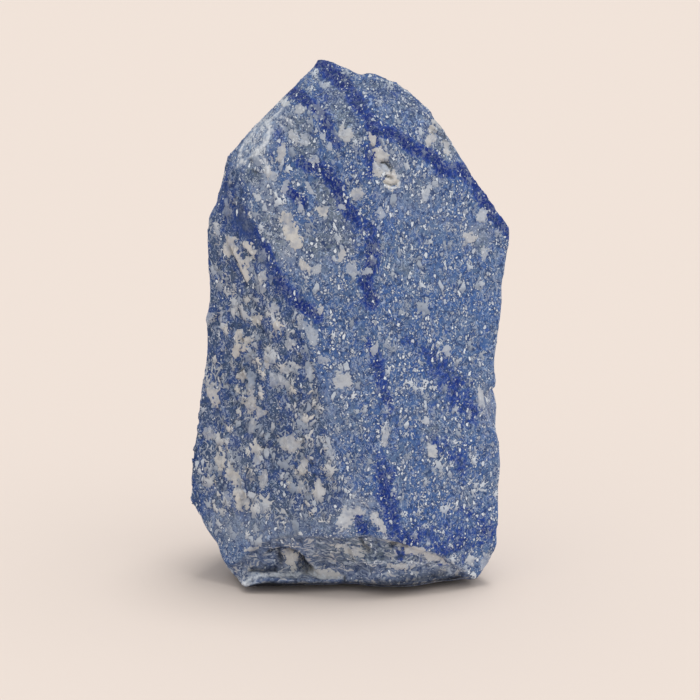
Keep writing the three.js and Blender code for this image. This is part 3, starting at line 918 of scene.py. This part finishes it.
def add_streaks(weave, colour, scooped, middling):
    """Pale swirled streaks under the overhang, drawn out along it."""
    place = weave.drawn(weave.bent(3.5, 0.7, shift=49), -14, (0.4, 1, 1))
    swirl = weave.noise(0.8, 2.0, 0.6, place=place, shift=47, distortion=1.0)
    dark = weave.times(weave.ramp(swirl, 0.46, 0.36), scooped, 0.5)
    colour = weave.mix(dark, colour, SHADE_GREY)
    streak = weave.times(weave.ramp(swirl, 0.53, 0.60), scooped, 0.6)
    return weave.mix(streak, colour, weave.mix(weave.ramp(middling, 0.4, 0.6), COOL_GREY, BEIGE))


def add_gleams_and_highlights(weave, colour):
    """White streaks and painted highlights, soft at their rims and broken into fibres."""
    streak = weave.attribute("streak")
    fibres = weave.math("MULTIPLY_ADD", weave.noise(0.55, 2, 0.6, shift=91), 2.0, -1.0)
    share = weave.math("ADD", streak, weave.times(fibres, weave.ramp(streak, 0.0, 0.3)))
    return weave.mix(weave.ramp(share, 0.05, 1.1, 0.0, 0.9), colour, GLEAM_AND_HIGHLIGHT)


def add_scales(weave, colour, seen, middling):
    """Pale ragged scales, by place on the seen side and by chance elsewhere."""
    place = weave.bent(0.8, 0.25, shift=23)
    gap, _, _ = weave.cells(1.3, place, shift=43)
    fine_gap, _, _ = weave.cells(0.6, place, shift=44)
    ragged = weave.math("MULTIPLY_ADD", gap, 1.2, -0.62)
    ragged = weave.math("ADD", ragged, weave.math("MULTIPLY_ADD", fine_gap, 0.9, -0.42))
    inside = weave.math("ADD", weave.attribute("scale"), ragged)
    scale = weave.ramp(inside, 0.0, 0.06)
    by_chance = weave.ramp(weave.noise(5.5, 4, 0.65, shift=51), 0.655, 0.67)
    by_chance = weave.times(by_chance, weave.math("SUBTRACT", 1.0, seen))
    rim_colour = weave.mix(weave.attribute("scale_warmth"), COOL_GREY, BEIGE)
    scale_colour = weave.mix(weave.ramp(middling, 0.45, 0.75, 0.0, 0.6), rim_colour, FLECK_HEART)
    share = weave.times(weave.math("MAXIMUM", scale, by_chance), weave.attribute("glow"))
    return weave.mix(share, colour, scale_colour), weave.times(share, weave.ramp(inside, 0, 0.3))


def quartz_material():
    material = bpy.data.materials.new("blue_quartz")
    weave = Weave(material)
    seen = weave.attribute("seen")
    left = weave.attribute("left")
    scooped = weave.attribute("scooped")
    deep = weave.attribute("deep")
    middling = weave.noise(1.8, 3, 0.6, shift=9)
    colour, vein_share = ground_colour(weave, middling)
    # Veins, deep ground and the rock under the overhang hold fewer markings.
    calm = weave.times(weave.ramp(vein_share, 0, 1, 1, 0.35), weave.ramp(scooped, 0, 1, 1, 0.25),
                       weave.ramp(deep, 0.4, 1, 1, 0.4))

    grain = weave.noise(0.7, 1.5, 0.5, shift=13)
    shade = weave.mix(weave.times(left, 0.4), SHADE_BLUE, SHADE_GREY)
    blotch = weave.ramp(weave.noise(2.6, 3, 0.6, shift=77), 0.42, 0.58)
    colour = weave.mix(weave.times(left, 0.82), colour, weave.mix(blotch, DARK_SLATE, DARK_BLUE))
    darkest = weave.times(weave.ramp(grain, 0.50, 0.36), weave.ramp(left, 0, 1, 0.8, 0.35))
    colour = weave.mix(darkest, colour, shade)
    colour = add_curls(weave, colour, shade, left, calm)
    colour = add_threads(weave, colour, weave.times(calm, weave.ramp(left, 0, 1, 1, 0.9)))
    fewer = weave.times(weave.ramp(scooped, 0, 1, 1, 0.35), weave.ramp(left, 0, 1, 1, 0.4),
                        weave.ramp(vein_share, 0, 1, 1, 0.5), weave.ramp(deep, 0.4, 1, 1, 0.5))
    colour, dot_height = add_dots(weave, colour, shade, fewer)
    colour, fleck_height = add_flecks(weave, colour, shade, left, calm)
    colour = add_streaks(weave, colour, scooped, middling)
    colour, scale_height = add_scales(weave, colour, seen, middling)
    colour = add_gleams_and_highlights(weave, colour)
    # Painted shade: darker where the rock faces up, against the overhead lamp's light.
    colour = weave.mix(weave.times(weave.attribute("faces_up_painted_shade"), PAINTED_TOP_SHADE), colour, BLACK)
    # Painted shade: near black under the foot, under the overhang's arris and in cracks.
    colour = weave.mix(weave.attribute("painted_shade_and_marks"), colour, PAINTED_SHADE_AND_DARK_MARK)

    shader = weave.shader
    weave.join(colour, shader.inputs["Base Color"])
    weave.join(weave.ramp(grain, 0.3, 0.7, 0.70, 0.50), shader.inputs["Roughness"])
    shader.inputs["IOR"].default_value = 1.5
    shader.inputs["Specular IOR Level"].default_value = 0.12

    height = weave.times(grain, 0.35)
    for part, rise in ((fleck_height, 0.35), (dot_height, 0.25), (scale_height, 0.5)):
        height = weave.math("ADD", height, weave.times(part, rise))
    bump = weave.node("Bump", Strength=BUMP_STRENGTH, Distance=BUMP_HEIGHT, Height=height)
    weave.join(bump.outputs["Normal"], shader.inputs["Normal"])
    return material


# ---- Stage and light ----

FLOOR_REACH = 3.0  # metres from the stone to each edge
FLOOR_COLOUR = (0.605, 0.530, 0.478, 1)
STUDIO_LIGHT = 0.80
# Lamps: name, where their light heads, power in watts per square metre, and spread in degrees.
LAMPS = [("lamp overhead", (-0.12, -0.10, -1), 1.6, 24), ("window", (-0.6, 0.10, -1), 0.55, 60)]


def make_floor():
    mesh = bpy.data.meshes.new("floor")
    sides = [(-1, -1), (1, -1), (1, 1), (-1, 1)]
    corners = [(x * FLOOR_REACH, y * FLOOR_REACH, -FLOOR_DROP) for x, y in sides]
    mesh.from_pydata(corners, [], [(0, 1, 2, 3)])
    floor = add_object("floor", mesh)
    material = bpy.data.materials.new("floor")
    material.use_nodes = True
    shader = material.node_tree.nodes["Principled BSDF"]
    shader.inputs["Base Color"].default_value = FLOOR_COLOUR
    shader.inputs["Roughness"].default_value = 1.0
    shader.inputs["Specular IOR Level"].default_value = 0.0
    mesh.materials.append(material)


def light_scene():
    world = bpy.data.worlds.new("studio")
    bpy.context.scene.world = world
    world.use_nodes = True
    background = world.node_tree.nodes["Background"]
    background.inputs["Color"].default_value = (1.0, 1.0, 1.0, 1)
    background.inputs["Strength"].default_value = STUDIO_LIGHT
    for name, heading, power, spread in LAMPS:
        data = bpy.data.lights.new(name, "SUN")
        data.energy = power
        data.angle = math.radians(spread)
        turned = Vector(heading).to_track_quat("-Z", "Y")
        add_object(name, data).rotation_euler = turned.to_euler()
    bpy.context.scene.view_settings.view_transform = "Standard"


make_camera()
skin = fine_copy(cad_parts["stone"])
dress_skin(skin)
skin.data.materials.clear()
skin.data.materials.append(quartz_material())
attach(skin, "root")
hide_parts("stone")
make_floor()
light_scene()
